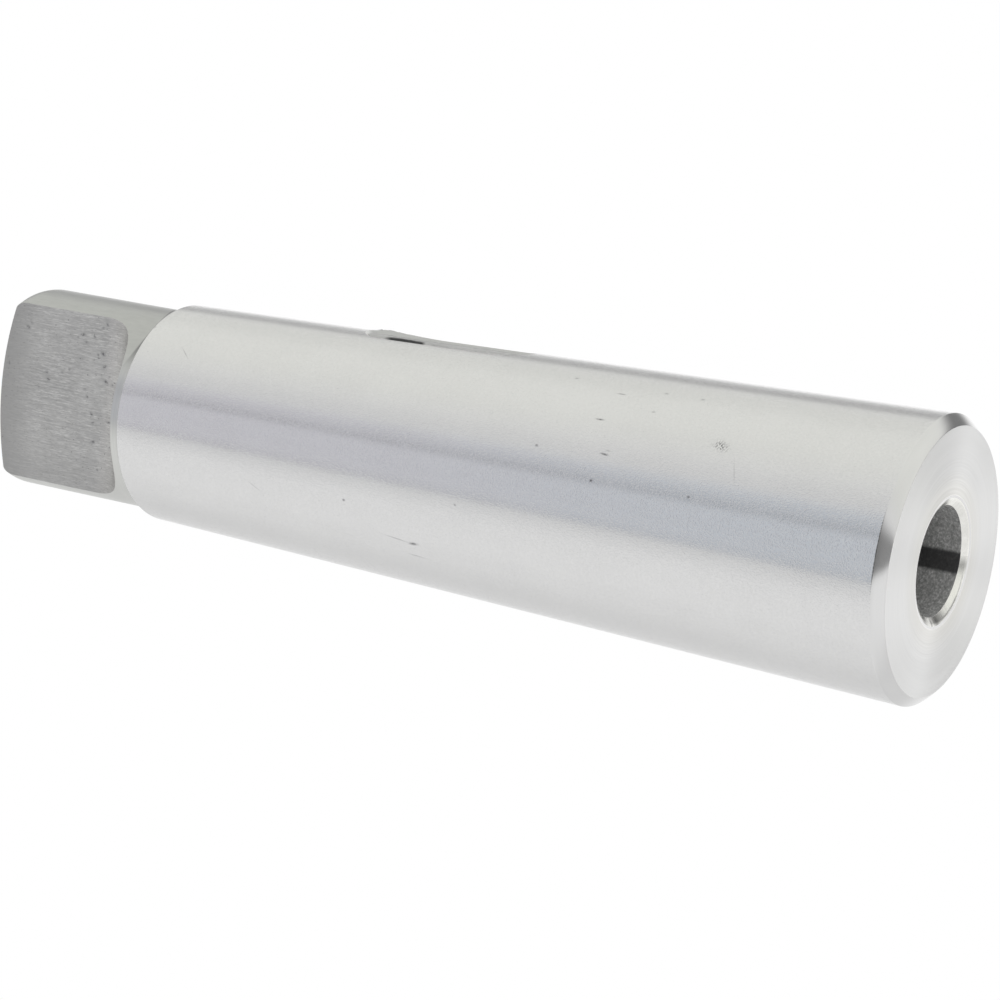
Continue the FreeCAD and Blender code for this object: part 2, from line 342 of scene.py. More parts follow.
# On the flat of the tang both places are in millimetres.
FLAT_PITS = [
    (120.1, 7.8, 0.30, 0.20, 10.0, 0.8), (111.6, 8.1, 0.35, 0.20, -20.0, 0.9),
    (111.0, 7.3, 0.25, 0.15, 30.0, 0.8), (108.3, 6.2, 0.40, 0.22, 15.0, 0.9),
    (107.9, 4.7, 0.30, 0.18, -30.0, 0.8), (116.7, 2.7, 0.25, 0.15, 0.0, 0.7),
    (107.5, 2.9, 0.35, 0.20, 20.0, 0.9), (110.6, 1.5, 0.22, 0.15, 0.0, 0.7),
    (109.3, -1.3, 0.30, 0.18, 40.0, 0.8), (106.4, -1.9, 0.30, 0.15, 0.0, 0.7),
    (108.7, -4.6, 0.35, 0.20, -15.0, 0.8), (108.9, 5.6, 0.18, 0.12, 0.0, 0.8),
    (112.3, 7.7, 0.16, 0.12, 0.0, 0.7), (107.0, 3.6, 0.16, 0.12, 0.0, 0.8),
    (109.8, 8.1, 0.22, 0.13, 25.0, 0.7), (108.7, 9.3, 0.28, 0.14, -30.0, 0.7),
    (108.0, 9.8, 0.22, 0.12, 40.0, 0.7), (109.0, 6.0, 0.20, 0.13, 0.0, 0.7),
    (116.3, 1.9, 0.30, 0.15, 20.0, 0.8), (114.3, 3.0, 0.18, 0.12, 0.0, 0.7),
    (113.2, 3.6, 0.20, 0.13, -20.0, 0.7), (117.8, 0.8, 0.20, 0.12, 10.0, 0.6),
    (110.2, 0.7, 0.20, 0.13, 30.0, 0.8), (106.4, 2.7, 0.22, 0.13, 0.0, 0.7),
    (109.0, -2.3, 0.20, 0.13, -10.0, 0.7), (107.7, -7.9, 0.18, 0.12, 0.0, 0.6),
    (119.6, 8.4, 0.18, 0.12, 0.0, 0.7), (122.6, 3.0, 0.25, 0.12, 80.0, 0.5),
]
# Dark patches painted round the countersink: a height in millimetres and an angle in degrees again.
MOUTH_MARKS = [
    (0.30, -65.0, 0.60, 1.20, 0.0, 0.85), (0.25, -96.0, 0.50, 0.70, 0.0, 0.80),
    (0.30, 80.0, 0.60, 0.75, 0.0, 0.80), (0.30, -171.0, 0.60, 0.80, 0.0, 0.60),
    (0.45, 5.0, 0.25, 0.70, 20.0, 0.75), (0.20, -84.0, 0.30, 0.25, 0.0, 0.70),
]
MOUTH_RADIUS = 6.5


def begin(material):
    """The nodes of one finish, with the place on the sleeve in millimetres."""
    n = Nodes(material)
    p = n.point()
    return n, p, *n.parts(p)


def darkest(along, across, width, marks):
    """How strongly the nearest of these marks shows. Width turns across into millimetres."""
    shown = None
    for place, side, long_half, wide_half, tilt, depth in marks:
        lean = tilt * DEGREE
        a = along - place
        b = (across - side) * width
        u = (a * math.cos(lean) + b * math.sin(lean)) / long_half
        v = (b * math.cos(lean) - a * math.sin(lean)) / wide_half
        spot = (0.0 - (u * u + v * v)).exp() * depth
        shown = spot if shown is None else shown.most(spot)
    return shown


def make_ground_taper(material, c):
    """Cylindrical grinding: a fine grain, faint lines round the axis and a few knocks."""
    n, p, x, y, z = begin(material)
    angle = n.turn(x, y)
    radius = (x * x + y * y).root()
    across = radius * DEGREE

    lines = n.noise(p, (0.07, 0.07, 5.5), 3.0, 0.62)
    clouds = n.noise(p, (0.16, 0.16, 0.16), 3.0, 0.6)
    grain = n.noise(p, (2.6, 2.6, 2.6), 2.0, 0.7)
    fine = n.noise(p, (3.8, 3.8, 3.8), 2.0, 0.55)
    facets = n.step(n.noise(p, (6.5, 6.5, 6.5), 1.0, 0.5), 0.50, 0.62)
    strokes = n.step(n.noise(p, (3.5, 3.5, 7.0), 2.0, 0.6), 0.50, 0.56)

    marks = darkest(z, angle, across, TAPER_MARKS) * n.spread(grain, 0.35, 0.55, 0.5, 1.0)
    marks = marks.most(darkest(z, angle, across, SMUDGE) * strokes)

    base = n.blend(n.spread(clouds, 0.3, 0.7, 0.0, 1.0),
                   shade(c.ground, 0.985), shade(c.ground, 1.015))
    base = n.blend(n.spread(lines, 0.3, 0.7, 0.0, 0.16), base, shade(c.ground, 0.94))
    base = n.blend(n.spread(fine, 0.45, 0.75, 0.0, 0.40), base, shade(c.ground, 1.09))

    # The lip beside the slot: one side of one opening, round the end towards the tang.
    past = (abs(z - SLOT_MIDDLE) - SLOT_STRAIGHT).most(0.0)
    beside = (x * x + past * past).root() - SLOT_HALF_WIDTH
    lip = (1.0 - n.step(beside, 0.45, 0.95)) * n.step(x, -1.4, -2.2)
    lip = lip * n.step(z, 66.0, 69.0) * n.step(y, 0.0, 1.0)
    base = n.blend(lip * 0.85, base, LIP_GREY)
    base = n.blend(marks, base, tuple(c.dark))
    rough = 0.140 + n.spread(clouds, 0.3, 0.7, 0.0, 0.02) + marks * 0.25
    height = fine * 0.5 + facets + lines * 0.03 - marks * 0.5
    n.steel(base, rough, n.bump(height, 8.5), 0.40)


def make_turned_neck(material, c):
    """Plain turning: feed lines round the neck, the shoulder and the crown."""
    n, p, x, y, z = begin(material)
    radius = (x * x + y * y).root()
    angle = n.turn(x, y)
    lines = n.noise(n.joined(x * 0.10, y * 0.10, z * 6.0 + radius * 6.0))
    clouds = n.noise(p, (0.25, 0.25, 0.25), 3.0)
    streaks = n.noise(n.joined(x * 2.2, y * 2.2, z * 0.5), detail=3.0, roughness=0.65)
    base = n.blend(n.spread(lines, 0.3, 0.7, 0.0, 1.0),
                   shade(c.turned, 0.93), shade(c.turned, 1.03))
    base = n.blend(n.spread(clouds, 0.35, 0.7, 0.0, 0.5), base, shade(c.turned, 0.94))

    # Painted shade: the neck is greyer on the slot's side.
    upper_shade = n.step(angle, 15.0, 45.0) * (1.0 - n.step(angle, 100.0, 160.0))
    upper_shade = upper_shade * n.spread(streaks, 0.3, 0.7, 0.70, 1.0)
    base = n.blend(upper_shade * 0.85, base, NECK_PAINTED_SHADE)

    # A dark line of painted shade in the root of the neck, thinnest at 53 degrees and higher to
    # both sides.
    bend = (angle - 53.0) * (angle - 53.0) * 0.0015
    root = (1.0 - n.step(z - bend, 100.62, 100.90)) * (1.0 - n.step(radius, 12.55, 12.75))
    root = root * n.step(angle, 26.0, 44.0) * (1.0 - n.step(angle, 87.0, 95.0))
    base = n.blend(root * 0.65, base, shade(c.dark, 1.3))
    rough = 0.28 + n.spread(clouds, 0.3, 0.7, 0.0, 0.06)
    n.steel(base, rough, n.bump(lines, 3.0), 0.45)


def make_milled_flat(material, c):
    """Face milling along the axis: torn streaks, a matt grey and small dark pits."""
    n, p, x, y, z = begin(material)
    streaks = n.noise(n.joined(x * 0.3, y * 5.5, z * 0.42), detail=4.0, roughness=0.68)
    fine = n.noise(n.joined(x, y * 9.0, z * 1.3))
    clouds = n.noise(p, (0.14, 0.14, 0.14), 3.0)
    torn = n.noise(n.joined(x, y * 3.2, z * 3.8))
    specks = n.noise(n.joined(x, y * 6.5, z * 2.4), detail=1.0, roughness=0.5)

    # Pits at their own places, stray ones that are denser towards the neck, and faint dashes.
    pits = darkest(z, y, 1.0, FLAT_PITS) * n.spread(torn, 0.35, 0.55, 0.3, 1.0)
    stray = n.step(torn + n.step(z, 118.0, 106.0) * 0.04, 0.718, 0.758)
    dashes = n.step(specks, 0.66, 0.72)
    pits = pits.most(stray * 0.8).most(dashes * 0.30)
    base = n.blend(n.spread(streaks, 0.3, 0.7, 0.0, 1.0),
                   shade(c.milled, 0.63), shade(c.milled, 1.33))
    base = n.blend(n.spread(fine, 0.38, 0.66, 0.0, 0.75), base, shade(c.milled, 0.68))
    base = n.blend(n.spread(clouds, 0.35, 0.65, 0.0, 0.30), base, shade(c.milled, 1.12))
    # Painted shade: the flat is darker towards the end of the tang and towards -Y.
    base = n.blend(n.step(z, 117.0, 123.0) * 0.75, base, shade(c.milled, 0.68))
    base = n.blend(n.step(y, -5.0, -9.5) * 0.35, base, shade(c.milled, 0.72))
    base = n.blend(pits * 0.9, base, tuple(c.dark))
    rough = 0.42 + n.spread(streaks, 0.3, 0.7, 0.0, 0.10)
    n.steel(base, rough, n.bump(streaks + fine * 0.5 - pits * 1.2, 16.0))


def make_faced_end(material, c):
    """Facing cut: fine rings round the socket's mouth."""
    n, p, x, y, _ = begin(material)
    radius = (x * x + y * y).root()
    rings = n.noise(n.joined(radius * 5.0, x * 0.09, y * 0.09), detail=3.0)
    broad = n.noise(n.joined(radius * 0.9, x * 0.05, y * 0.05), roughness=0.5)
    grain = n.noise(p, (2.8, 2.8, 2.8))

    # The rings show most near the mouth, and as arcs above and below it; the arcs' extra darkness
    # is painted shade.
    inner = n.step(radius, 10.5, 7.2)
    arcs = n.step(radius, 13.8, 10.5) * n.step(abs(y) / radius, 0.60, 0.95)
    base = n.blend(n.spread(rings, 0.36, 0.64, 0.0, 0.14 + arcs * 0.62 + inner * 0.2),
                   tuple(c.faced), shade(c.faced, 0.80))
    base = n.blend(n.spread(broad, 0.35, 0.65, 0.0, 0.35), base, shade(c.faced, 0.97))
    # Painted shade: the face is darker towards the top and the bottom.
    base = n.blend(n.step(abs(y), 4.0, 13.5) * 0.75, base, shade(c.faced, 0.80))
    base = n.blend(inner * 0.35, base, WARM_STEEL)
    # Painted highlight: a near-white ring on the face at the edge of the mouth.
    base = n.blend((1.0 - n.step(radius, 7.05, 7.35)) * 0.9, base, PAINTED_HIGHLIGHT)
    rough = 0.33 + n.spread(broad, 0.3, 0.7, 0.0, 0.03) + grain * 0.02
    n.steel(base, rough, n.bump(rings * (0.3 + inner * 0.6) + grain * 0.3, 5.5), 0.93)


def make_turned_bevel(material, c):
    """The narrow bevels, turned bright."""
    n, p, x, y, z = begin(material)
    radius = (x * x + y * y).root()
    rings = n.noise(n.joined((radius - z) * 7.0, x * 0.08, y * 0.08))
    grain = n.noise(p, (1.6, 1.6, 1.6), 3.0)
    base = n.blend(n.spread(rings, 0.3, 0.7, 0.0, 1.0),
                   shade(c.ground, 0.95), shade(c.ground, 1.03))
    rough = 0.13 + n.spread(grain, 0.3, 0.7, 0.0, 0.03)
    n.steel(base, rough, n.bump(rings + grain * 0.4, 1.8), 0.4)


def make_mouth_bevel(material, _):
    """The countersink, cut bright with a little chatter."""
    n, _, x, y, z = begin(material)
    angle = n.turn(x, y)
    chatter = n.noise(n.joined(x * 0.9, y * 0.9, z * 0.3), detail=3.0)
    steps = n.noise(n.joined(angle * 0.11, z * 0.2, 0.0))
    dark_patches = darkest(z, angle, MOUTH_RADIUS * DEGREE, MOUTH_MARKS)
    base = n.blend(n.spread(chatter, 0.3, 0.7, 0.0, 1.0), CUT_DARK, CUT_LIGHT)
    base = n.blend(dark_patches, base, MOUTH_PATCH_GREY)
    rough = 0.20 + n.spread(chatter, 0.3, 0.7, 0.0, 0.06)
    n.steel(base, rough, n.bump(chatter * 0.6 + steps, 35.0), 0.3)


def make_bored_socket(material, c):
    """The inner taper, finished rough, with a mottled grain, painted shade deeper in and one strip
    of painted dark reflection.
    """
    n, p, x, y, z = begin(material)
    grain = n.noise(p, (1.5, 1.5, 2.4), 4.0, 0.75)
    fine = n.noise(p, (3.6, 3.6, 5.0), 2.0, 0.7)
    rings = n.noise(p, (0.08, 0.08, 5.0))
    base = n.blend(n.spread(grain, 0.3, 0.7, 0.0, 1.0),
                   shade(c.bored, 0.38), shade(c.bored, 1.38))
    base = n.blend(n.spread(fine, 0.35, 0.65, 0.0, 0.8), base, shade(c.bored, 0.40))
    # Painted shade: the socket is darker deeper in.
    base = n.blend(n.step(z, 5.0, 16.0) * 0.4, base, shade(c.bored, 0.35))
    # The strip of painted dark reflection is counted from the -X side, so that it doesn't meet the
    # seam of the angle.
    from_rear = n.turn(0.0 - x, 0.0 - y)
    strip = n.step(from_rear, -5.5, -1.0) * (1.0 - n.step(from_rear, 16.5, 21.5))
    base = n.blend(strip * 0.90, base, shade(c.dark, 0.30))
    rough = 0.55 + n.spread(grain, 0.3, 0.7, 0.0, 0.12)
    n.steel(base, rough, n.bump(grain + rings * 0.6, 10.0), 0.0, 0.35)


def make_slot_wall(material, c):
    """End milled walls of the drift slot, left matt, with painted shade on the rim of one wall and
    one painted shadow near its end.
    """
    n, p, x, y, z = begin(material)
    radius = (x * x + y * y).root()
    lines = n.noise(n.joined(x * 0.6, y * 5.0, z * 0.5), detail=3.0, roughness=0.65)
    clouds = n.noise(p, (0.5, 0.5, 0.5), 3.0)
    base = n.blend(n.spread(lines, 0.3, 0.7, 0.0, 1.0),
                   shade(c.slotted, 0.88), shade(c.slotted, 1.10))
    base = n.blend(n.spread(clouds, 0.35, 0.65, 0.0, 0.4), base, shade(c.slotted, 0.90))
    # Painted highlight: the wall is lighter towards the slot's end nearer the tang.
    base = n.blend(n.step(z, 72.0, 73.6) * 0.25, base, PAINTED_HIGHLIGHT)

    # The rim: the outermost 0.3 mm of the wall and the broken edge, on one side, painted darker as
    # shade.
    rim = n.step(radius + z * TAPER_SLOPE, 15.42, 15.56) * n.step(x, 1.0, -0.5)
    base = n.blend(rim * 0.9, base, RIM_PAINTED_SHADE)

    # A painted shadow: an oval 5 mm long on one wall, just inside the rim.
    along = (z - 70.95) / 2.6
    painted_shadow = n.step(1.0 - along * along, 0.0, 0.5) * n.step(x, -1.2, -1.9)
    painted_shadow = painted_shadow * (1.0 - n.step(y, 13.04, 13.26))
    base = n.blend(painted_shadow * 0.95, base, shade(c.dark, 0.5))
    rough = 0.45 + n.spread(clouds, 0.3, 0.7, 0.0, 0.1)
    n.steel(base, rough, n.bump(lines, 6.0), 0.0, 0.35)


def finish_materials(c):
    """One material for each finish, in the order of the sleeve's slots."""
    makers = (make_ground_taper, make_turned_neck, make_milled_flat, make_faced_end,
              make_turned_bevel, make_mouth_bevel, make_bored_socket, make_slot_wall)
    made = []
    for name, make in zip(FINISHES, makers):
        material = bpy.data.materials.new(name)
        make(material, c)
        made.append(material)
    return made


# The sleeve.

# The taper is made in short rows between these heights, where the lip beside the slot rises.
LIP_ROWS = 20
LIP_ROWS_TOP = 76.0 * MM
LIP_ROWS_FOOT = 66.0 * MM

# The cutters: past the outside of the sleeve, past the width and the end of the tang, and
# how far the two halves of the slot reach past the axis, so that they meet.
CLEAR_OUTSIDE = 20.0 * MM
CLEAR_BESIDE = 16.0 * MM
CLEAR_ABOVE = 3.0 * MM
SLOT_OVERLAP = 0.4 * MM

# Two milled faces whose normals agree by more than this are shaded as one surface.
SAME_SURFACE = 0.8
ON_AXIS = 1e-7


def bend_corner(bm, vert, radius, segments):
    """Rounds one corner of the wire outline."""
    a, b = [edge.other_vert(vert).co - vert.co for edge in vert.link_edges]
    turn = math.pi - a.angle(b)
    reach = radius * math.tan(turn / 2)
    bmesh.ops.bevel(bm, geom=[vert], offset=reach, offset_type="OFFSET", segments=segments,
                    profile=0.5, affect="VERTICES", material=-1)


def one_vert(geometry):
    """The first vertex in what a bmesh operator gives back."""
    return next(item for item in geometry if isinstance(item, bmesh.types.BMVert))


def taper_slope(s):
    """What the outer radius loses for each unit of height."""
    return (s.big_radius - s.small_radius) / s.shank_length


def chain(bm, points):
    """Corners joined by edges, in order."""
    verts = [bm.verts.new((r, 0.0, z)) for r, z in points]
    for first, second in zip(verts, verts[1:]):
        bm.edges.new((first, second))
    return verts


def outline(s):
    """Half of the sleeve's section: up to the crown, round the outside and into the socket."""
    bm = bmesh.new()
    top = bm.verts.new((0.0, 0.0, s.overall_length))
    dome = bmesh.ops.spin(bm, geom=[top], cent=(0, 0, s.overall_length - s.crown_radius),
                          axis=(0, 1, 0), angle=math.asin(s.neck_radius / s.crown_radius), steps=16)

    # The shoulder and the taper.
    slope = taper_slope(s)
    step = s.small_bevel
    corners = [(s.neck_radius, s.shank_length), (s.small_radius - step, s.shank_length),
               (s.small_radius + slope * step, s.shank_length - step)]
    for row in range(LIP_ROWS + 1):
        height = LIP_ROWS_TOP + (LIP_ROWS_FOOT - LIP_ROWS_TOP) * row / LIP_ROWS
        corners.append((s.big_radius - slope * height, height))

    # The crowned bevel at the big end, then the socket.
    low = s.big_bevel
    low_radius = s.big_radius - slope * low
    foot_radius = s.big_radius - low
    crown = s.bevel_crown * math.sqrt(0.5)
    corners += [(low_radius, low),
                ((low_radius + foot_radius) / 2 + crown, low / 2 - crown), (foot_radius, 0.0)]
    corners += [(s.mouth_radius, 0.0), (s.throat_radius, s.mouth_depth),
                (s.hole_radius, s.taper_depth), (s.hole_radius, s.hole_depth),
                (0.0, s.hole_depth + s.point_height)]
    verts = chain(bm, corners)
    dome_foot = one_vert(dome["geom_last"])
    bm.edges.new((dome_foot, verts[0]))
    bm.verts.ensure_lookup_table()

    root, shoulder_in, shoulder_out = verts[:3]
    bevel_top, bevel_middle, bevel_foot, mouth, throat = verts[LIP_ROWS + 4:LIP_ROWS + 9]
    bend_corner(bm, dome_foot, s.corner_radius, 8)
    bend_corner(bm, root, s.root_radius, 5)
    for vert in (shoulder_in, shoulder_out, bevel_foot):
        bend_corner(bm, vert, s.edge_round, 3)
    bend_corner(bm, mouth, s.mouth_round, 6)
    bend_corner(bm, bevel_top, s.edge_round * 1.4, 4)
    bend_corner(bm, bevel_middle, s.crown_bend, 8)
    bend_corner(bm, throat, s.edge_round * 0.8, 3)
    return bm


def walk(bm):
    """The outline's points in order, from the crown to the end of the drill's point."""
    ends = [vert for vert in bm.verts if len(vert.link_edges) == 1]
    here = max(ends, key=lambda vert: vert.co.z)
    seen, points = set(), []
    while here is not None:
        seen.add(here)
        points.append(Vector((here.co.x, here.co.z)))
        beside = [edge.other_vert(here) for edge in here.link_edges]
        here = next((vert for vert in beside if vert not in seen), None)
    return points


class Section:
    """The outline as runs between points, for the finish and the true normal at a spot."""

    def __init__(self, points, sizes):
        self.runs = list(zip(points, points[1:]))
        self.faces = []
        for a, b in self.runs:
            d = (b - a).normalized()
            self.faces.append(Vector((-d.y, d.x)))
        self.corner_normals = []
        for i in range(len(points)):
            total = Vector((0.0, 0.0))
            for j in (i - 1, i):
                if 0 <= j < len(self.runs):
                    total += self.faces[j] * (self.runs[j][1] - self.runs[j][0]).length
            self.corner_normals.append(total.normalized())
        self.corner_normals[0] = STRAIGHT_UP
        self.finishes = [self.finish_of((a + b) / 2, sizes) for a, b in self.runs]

    @staticmethod
    def finish_of(spot, s):
        """The way the steel was machined at this radius and height."""
        radius, height = spot
        outside = radius > s.big_radius - taper_slope(s) * height - 0.35 * s.small_bevel
        if height > s.shank_length - s.small_bevel * 0.9:
            return "turned_neck"
        if height < s.mouth_depth and radius < s.mouth_radius - 0.02 * MM:
            return "mouth_bevel"
        if height < 0.01 * MM:
            return "faced_end"
        if height < s.big_bevel * 0.985 and radius > s.mouth_radius:
            return "turned_bevel"
        return "ground_taper" if outside else "bored_socket"

    def along(self, index, spot):
        """How far along one run, from 0 to 1, the point nearest to this spot is."""
        a, b = self.runs[index]
        return min(1.0, max(0.0, (spot - a).dot(b - a) / (b - a).length_squared))

    def nearest(self, spot):
        """The run nearest to this spot."""
        def gap(index):
            a, b = self.runs[index]
            return (a + (b - a) * self.along(index, spot) - spot).length_squared
        return min(range(len(self.runs)), key=gap)

    def normal(self, index, spot):
        """The surface's own normal at this spot of a run, as radius and height."""
        ends = self.corner_normals[index:index + 2]
        return ends[0].lerp(ends[1], self.along(index, spot)).normalized()


def new_object(name, bm, materials):
    """An object in the scene that holds this shape."""
    mesh = bpy.data.meshes.new(name)
    bm.to_mesh(mesh)
    bm.free()
    thing = bpy.data.objects.new(name, mesh)
    bpy.context.scene.collection.objects.link(thing)
    for material in materials:
        mesh.materials.append(material)
    return thing


def lip_rise(s, spot):
    """How far the lip beside the slot stands up at this place on the taper."""
    straight = s.slot_length / 2 - s.slot_width / 2
    past = max(0.0, abs(spot.z - s.slot_start - s.slot_length / 2) - straight)
    beside = math.hypot(spot.x, past) - s.slot_width / 2 - s.slot_break - s.lip_width / 2
    if spot.y < 0 or spot.x > s.lip_end or spot.z < s.lip_start or abs(beside) > s.lip_width:
        return 0.0
    grown = (spot.z - s.lip_start) / s.lip_length
    ended = (s.lip_end - spot.x) / s.lip_width / 2
    return s.lip_height * min(1.0, grown, ended) * (1 - abs(beside) / s.lip_width)


def raise_lip(bm, s):
    """A thin lip beside the slot: high round its end towards the tang, then sinking."""
    for vert in bm.verts:
        if vert.co.xy.length > s.small_radius and s.lip_start < vert.co.z < LIP_ROWS_TOP:
            vert.co.xy *= 1 + lip_rise(s, vert.co) / vert.co.xy.length


def turned_solid(s, materials):
    """The whole turned piece: the outline spun round the axis."""
    bm = outline(s)
    section = Section(walk(bm), s)
    bmesh.ops.spin(bm, geom=bm.verts[:] + bm.edges[:], cent=(0, 0, 0), axis=(0, 0, 1),
                   angle=math.tau, steps=s.turns, use_merge=True)
    bmesh.ops.remove_doubles(bm, verts=bm.verts[:], dist=0.0002 * MM)
    bmesh.ops.recalc_face_normals(bm, faces=bm.faces[:])
    for face in bm.faces:
        middle = face.calc_center_median()
        spot = Vector((sum(v.co.xy.length for v in face.verts) / len(face.verts), middle.z))
        face.material_index = FINISHES.index(section.finishes[section.nearest(spot)])
    raise_lip(bm, s)
    return new_object("sleeve_body", bm, materials), section


def surface_depth(s, x, z):
    """How far out along Y the outer taper is at this place."""
    return math.sqrt((s.big_radius - taper_slope(s) * z)**2 - x * x)


def turn_to_side(bm, side):
    """Leaves the shape where it is, or turns it to the other side of the axis."""
    if side < 0:
        half_turn = Matrix.Rotation(math.pi, 3, "Z")
        bmesh.ops.rotate(bm, verts=bm.verts[:], cent=(0, 0, 0), matrix=half_turn)


def as_cutter(name, bm, finish, materials):
    """A closed shape whose faces all leave the same finish behind."""
    bmesh.ops.recalc_face_normals(bm, faces=bm.faces[:])
    for face in bm.faces:
        face.material_index = FINISHES.index(finish)
    return new_object(name, bm, materials)


def slot_cutter(s, side, materials):
    """What the end mill takes away on one side, with the broken edge of the opening."""
    bm = bmesh.new()
    half = s.slot_width / 2
    low = s.slot_start + half
    high = s.slot_start + s.slot_length - half
    for x, z in ((half, low), (-half, high)):
        start = bm.verts.new((x, 0.0, z))
        bmesh.ops.spin(bm, geom=[start], cent=(0, 0, z), axis=(0, 1, 0), angle=math.pi, steps=24)
    loop = [v for v in bm.verts if len(v.link_edges) == 1]
    for level in (half, -half):
        pair = [v for v in loop if abs(v.co.x - level) < 1e-6]
        bm.edges.new(pair)
    bmesh.ops.contextual_create(bm, geom=bm.edges[:])
    last = bm.faces[:][0]

    def grow(face, outward, rise, flat=None):
        """Extrudes the outline, widened, to this height over the taper or to a flat level."""
        grown = bmesh.ops.extrude_face_region(bm, geom=[face])
        end = next(g for g in grown["geom"] if isinstance(g, bmesh.types.BMFace))
        for vert in end.verts:
            z = min(max(vert.co.z, low), high)
            away = Vector((vert.co.x, 0.0, vert.co.z - z)).normalized()
            x, height = vert.co.x + away.x * outward, vert.co.z + away.z * outward
            y = flat if flat is not None else surface_depth(s, x, height) + rise
            vert.co = Vector((x, y, height))
        return end

    edge = s.slot_break
    last = grow(last, 0.0, -edge)
    inside = [last]
    last = grow(last, 2 * edge, edge)
    inside.append(last)
    grow(last, 0.0, 0.0, flat=CLEAR_OUTSIDE)
    for face in inside:
        if face.is_valid:
            bm.faces.remove(face)
    turn_to_side(bm, side)
    inner_end = [v for v in bm.verts if abs(v.co.y) < 1e-9]
    bmesh.ops.translate(bm, verts=inner_end, vec=(0, -side * SLOT_OVERLAP, 0))
    return as_cutter("slot_cutter", bm, "slot_wall", materials)


def flat_cutter(s, side, materials):
    """What the side mill takes off one side of the tang, with its round run-out."""
    bm = bmesh.new()
    flat = s.tang_thickness / 2
    foot = s.overall_length - s.flat_length
    start = bm.verts.new((flat, -CLEAR_BESIDE, foot))
    run_out = bmesh.ops.spin(bm, geom=[start], cent=(flat + s.cutter_radius, 0, foot),
                             axis=(0, 1, 0), angle=-math.pi / 2, steps=32)
    end = one_vert(run_out["geom_last"])
    over = s.overall_length + CLEAR_ABOVE
    high = bm.verts.new((flat, -CLEAR_BESIDE, over))
    far = bm.verts.new((end.co.x, -CLEAR_BESIDE, over))
    for pair in ((start, high), (high, far), (far, end)):
        bm.edges.new(pair)
    made = bmesh.ops.contextual_create(bm, geom=bm.edges[:])
    grown = bmesh.ops.extrude_face_region(bm, geom=made["faces"])
    moved = [g for g in grown["geom"] if isinstance(g, bmesh.types.BMVert)]
    bmesh.ops.translate(bm, verts=moved, vec=(0, 2 * CLEAR_BESIDE, 0))
    turn_to_side(bm, side)
    return as_cutter("flat_cutter", bm, "milled_flat", materials)


def cut(thing, cutter):
    """Takes the cutter's shape out of the piece."""
    change = thing.modifiers.new("cut", "BOOLEAN")
    change.operation = "DIFFERENCE"
    change.solver = "EXACT"
    change.object = cutter
    if hasattr(change, "material_mode"):
        change.material_mode = "INDEX"
    bpy.context.view_layer.update()
    finished = thing.evaluated_get(bpy.context.evaluated_depsgraph_get())
    shaped = bpy.data.meshes.new_from_object(finished)
    thing.modifiers.clear()
    old, thing.data = thing.data, shaped
    bpy.data.meshes.remove(old)
    mesh = cutter.data
    bpy.data.objects.remove(cutter)
    bpy.data.meshes.remove(mesh)


def smooth_by_surface(thing, section, s):
    """Gives every corner the normal of the true surface, so that no facet shows."""
    mesh = thing.data
    milled = {FINISHES.index("milled_flat"), FINISHES.index("slot_wall")}
    around = {}
    for polygon in mesh.polygons:
        polygon.use_smooth = True
        for index in polygon.vertices:
            around.setdefault(index, []).append(polygon)
    normals = []
    for polygon in mesh.polygons:
        points = [mesh.vertices[i].co for i in polygon.vertices]
        middle = sum(points, Vector()) / len(points)
        outside = middle.xy.length > s.small_radius
        lip = outside and any(lip_rise(s, point) > 0 for point in points)
        if polygon.material_index in milled or lip:
            for index in polygon.vertices:
                total = Vector()
                for other in around[index]:
                    same = other.material_index == polygon.material_index
                    if same and other.normal.dot(polygon.normal) > SAME_SURFACE:
                        total += other.normal * other.area
                normals.append(total.normalized())
            continue
        spot = Vector((sum(p.xy.length for p in points) / len(points), middle.z))
        run = section.nearest(spot)
        for point in points:
            flat = section.normal(run, Vector((point.xy.length, point.z)))
            out = Vector((point.x, point.y, 0.0))
            out = out.normalized() if out.length > ON_AXIS else Vector()
            normals.append((out * flat.x + Vector((0, 0, flat.y))).normalized())
    mesh.normals_split_custom_set([tuple(n) for n in normals])


class SLEEVE_OT_body(bpy.types.Operator):
    """Turns, slots and mills the sleeve, and gives each surface its finish"""

    bl_idname = "sleeve.body"
    bl_label = "Sleeve Body"
    bl_options = {"REGISTER", "UNDO"}

    def execute(self, context):
        s = context.scene.sleeve_sizes
        materials = finish_materials(context.scene.sleeve_colours)
        body, section = turned_solid(s, materials)
        for side in (1, -1):
            cut(body, slot_cutter(s, side, materials))
            cut(body, flat_cutter(s, side, materials))
        smooth_by_surface(body, section, s)
        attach(body, "root")
        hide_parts(NODE)
        return {"FINISHED"}


# The studio.


